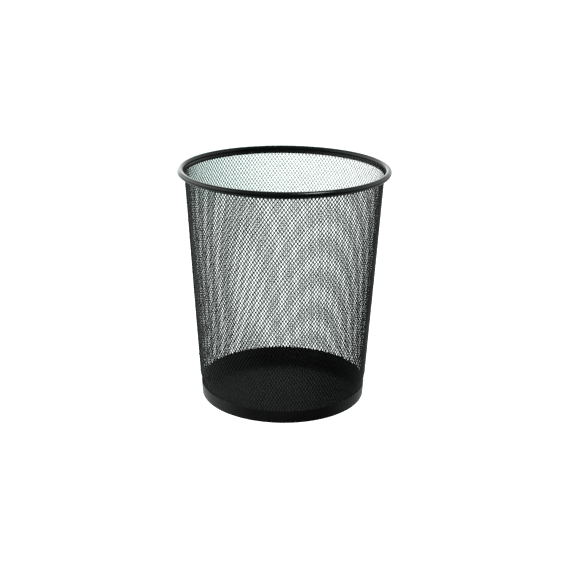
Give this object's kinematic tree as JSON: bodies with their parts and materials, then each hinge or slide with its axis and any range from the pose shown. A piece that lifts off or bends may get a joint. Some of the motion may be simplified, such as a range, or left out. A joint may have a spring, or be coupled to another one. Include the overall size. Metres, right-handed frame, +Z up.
{
  "type": "wastebasket",
  "caption": "Round tapered wastebasket with a steel mesh wall, a rolled round rim and a solid steel base band and floor.",
  "frame": {"origin": "centre of the footprint, on the ground", "axes": "+Z up along the basket's axis; the overlapped seam of the mesh is near -X, turned a little towards -Y; the basket is otherwise round"},
  "size_m": [0.295, 0.295, 0.3332],
  "materials": {
    "mesh_black": "semi-gloss black powder coat on expanded steel mesh",
    "rim_black": "gloss black powder coat on rolled steel",
    "band_black": "semi-gloss black powder coat on steel strip",
    "floor_black": "semi-gloss black powder coat on steel sheet"
  },
  "bodies": {
    "root": {"mesh_wall": "mesh_black", "rim_bead": "rim_black", "base_band": "band_black", "floor_plate": "floor_black", "seam_spot_welds": "mesh_black", "base_spot_welds": "floor_black"}
  },
  "joints": []
}
